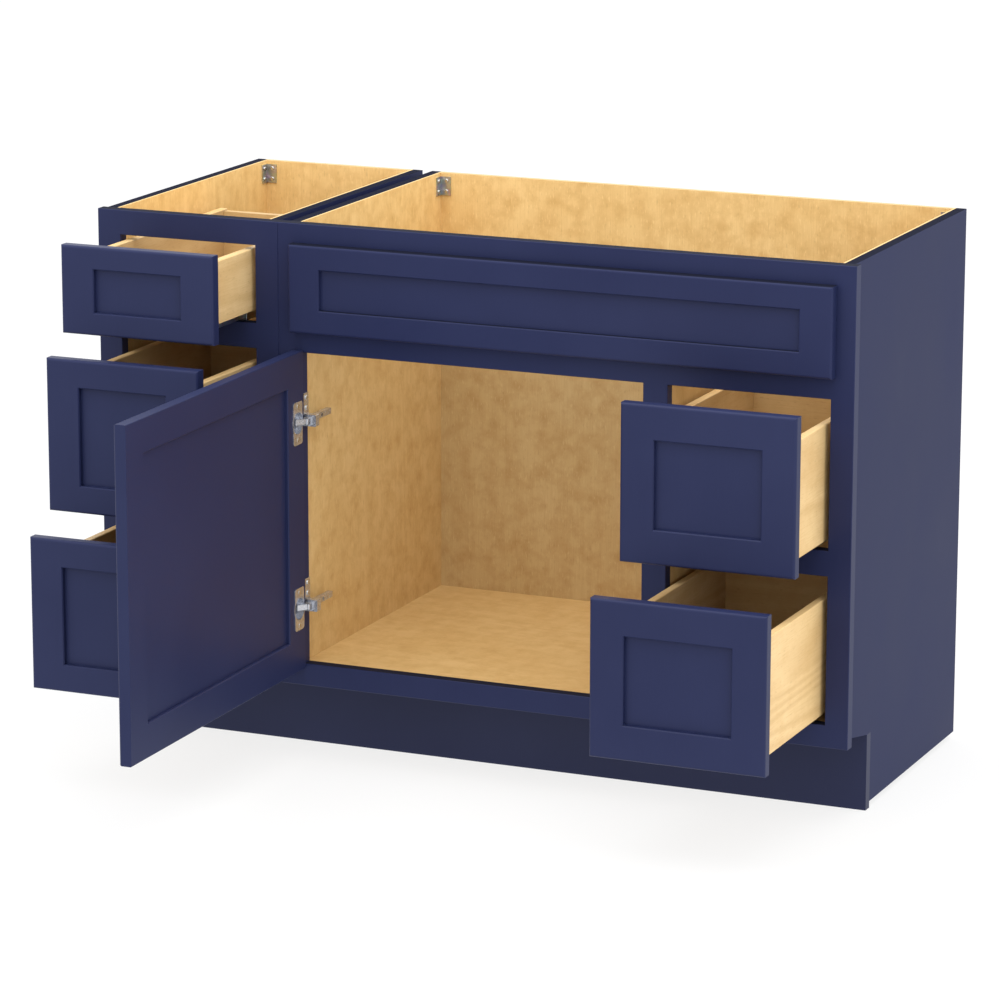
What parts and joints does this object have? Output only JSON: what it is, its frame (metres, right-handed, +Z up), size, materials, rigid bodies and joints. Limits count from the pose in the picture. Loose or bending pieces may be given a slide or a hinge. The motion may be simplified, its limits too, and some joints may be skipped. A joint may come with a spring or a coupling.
{
  "type": "bathroom vanity cabinet",
  "caption": "Framed bathroom vanity cabinet with open top, fixed sink front, shaker door on concealed hinges and shaker drawers on undermount slides.",
  "frame": {"origin": "middle of the cabinet width, on the wall plane, at floor level", "axes": "+X to the right seen from the front, +Y towards the wall, +Z up; the drawers open towards -Y"},
  "size_m": [1.2192, 1.112, 0.8382],
  "materials": {
    "back_plywood": "clear-coated plywood",
    "bracket_plastic": "moulded",
    "bracket_steel": "zinc-plated",
    "drawer_bottom": "clear-coated plywood",
    "drawer_wood": "clear-coated solid wood",
    "floor_plywood": "clear-coated plywood",
    "hinge_nickel": "nickel-plated",
    "painted_frame": "satin navy paint",
    "painted_front": "satin navy paint",
    "painted_toe": "satin navy paint",
    "partition_plywood": "clear-coated plywood",
    "screw_steel": "zinc-plated",
    "side_plywood": "navy laminate outside, clear-coated plywood inside",
    "slide_steel": "zinc-plated"
  },
  "bodies": {
    "cabinet": {"bay_partition": "partition_plywood", "centre_stile": "painted_frame", "corner_brackets": "bracket_steel", "drawer_rail": "painted_frame", "hinge_arms": "hinge_nickel", "left_back_panel": "back_plywood", "left_floor_panel": "floor_plywood", "left_frame_rails": "painted_frame", "left_frame_stiles": "painted_frame", "left_side_panels": "side_plywood", "pan_head_screws": "screw_steel", "right_back_panel": "back_plywood", "right_floor_panel": "floor_plywood", "right_side_panels": "side_plywood", "sink_frame_rails": "painted_frame", "sink_frame_stiles": "painted_frame", "sink_front_cleats": "partition_plywood", "sink_front_frame": "painted_front", "sink_front_panel": "painted_front", "sink_front_screws": "screw_steel", "slide_channels": "slide_steel", "slide_rear_brackets": "bracket_plastic", "toe_boards": "painted_toe", "unit_joining_screws": "screw_steel"},
    "door": {"door_stiles": "painted_front", "door_rails": "painted_front", "door_panel": "painted_front", "hinge_cups": "hinge_nickel", "hinge_cup_screws": "screw_steel"},
    "hinge_links": {"hinge_links": "hinge_nickel"},
    "left_top_drawer": {"left_top_box_bottom": "drawer_bottom", "left_top_box_ends": "drawer_wood", "left_top_box_sides": "drawer_wood", "left_top_front_frame": "painted_front", "left_top_front_panel": "painted_front", "left_top_slide_runners": "slide_steel"},
    "left_middle_drawer": {"left_middle_box_bottom": "drawer_bottom", "left_middle_box_ends": "drawer_wood", "left_middle_box_sides": "drawer_wood", "left_middle_front_frame": "painted_front", "left_middle_front_panel": "painted_front", "left_middle_slide_runners": "slide_steel"},
    "left_bottom_drawer": {"left_bottom_box_bottom": "drawer_bottom", "left_bottom_box_ends": "drawer_wood", "left_bottom_box_sides": "drawer_wood", "left_bottom_front_frame": "painted_front", "left_bottom_front_panel": "painted_front", "left_bottom_slide_runners": "slide_steel"},
    "right_upper_drawer": {"right_upper_box_bottom": "drawer_bottom", "right_upper_box_ends": "drawer_wood", "right_upper_box_sides": "drawer_wood", "right_upper_front_frame": "painted_front", "right_upper_front_panel": "painted_front", "right_upper_slide_runners": "slide_steel"},
    "right_lower_drawer": {"right_lower_box_bottom": "drawer_bottom", "right_lower_box_ends": "drawer_wood", "right_lower_box_sides": "drawer_wood", "right_lower_front_frame": "painted_front", "right_lower_front_panel": "painted_front", "right_lower_slide_runners": "slide_steel"}
  },
  "joints": [
    {"name": "door_swing", "type": "hinge", "parent": "cabinet", "child": "door", "pos_m": [-0.2686, -0.5419, 0.4], "axis": [0, 0, 1], "range_deg": [-4, 89.5]},
    {"name": "hinge_links_turn", "type": "hinge", "parent": "cabinet", "child": "hinge_links", "pos_m": [-0.2551, -0.5409, 0.4], "axis": [0, 0, 1], "range_deg": [-5.5, 118.9]},
    {"name": "left_top_drawer_slide", "type": "slide", "parent": "cabinet", "child": "left_top_drawer", "axis": [0, -1, 0], "range_m": [-0.137, 0.213]},
    {"name": "left_middle_drawer_slide", "type": "slide", "parent": "cabinet", "child": "left_middle_drawer", "axis": [0, -1, 0], "range_m": [-0.189, 0.161]},
    {"name": "left_bottom_drawer_slide", "type": "slide", "parent": "cabinet", "child": "left_bottom_drawer", "axis": [0, -1, 0], "range_m": [-0.2503, 0.0997]},
    {"name": "right_upper_drawer_slide", "type": "slide", "parent": "cabinet", "child": "right_upper_drawer", "axis": [0, -1, 0], "range_m": [-0.1372, 0.2128]},
    {"name": "right_lower_drawer_slide", "type": "slide", "parent": "cabinet", "child": "right_lower_drawer", "axis": [0, -1, 0], "range_m": [-0.2474, 0.1026]}
  ],
  "couplings": [
    {"joint": "hinge_links_turn", "follows": "door_swing", "ratio": 1.326}
  ]
}
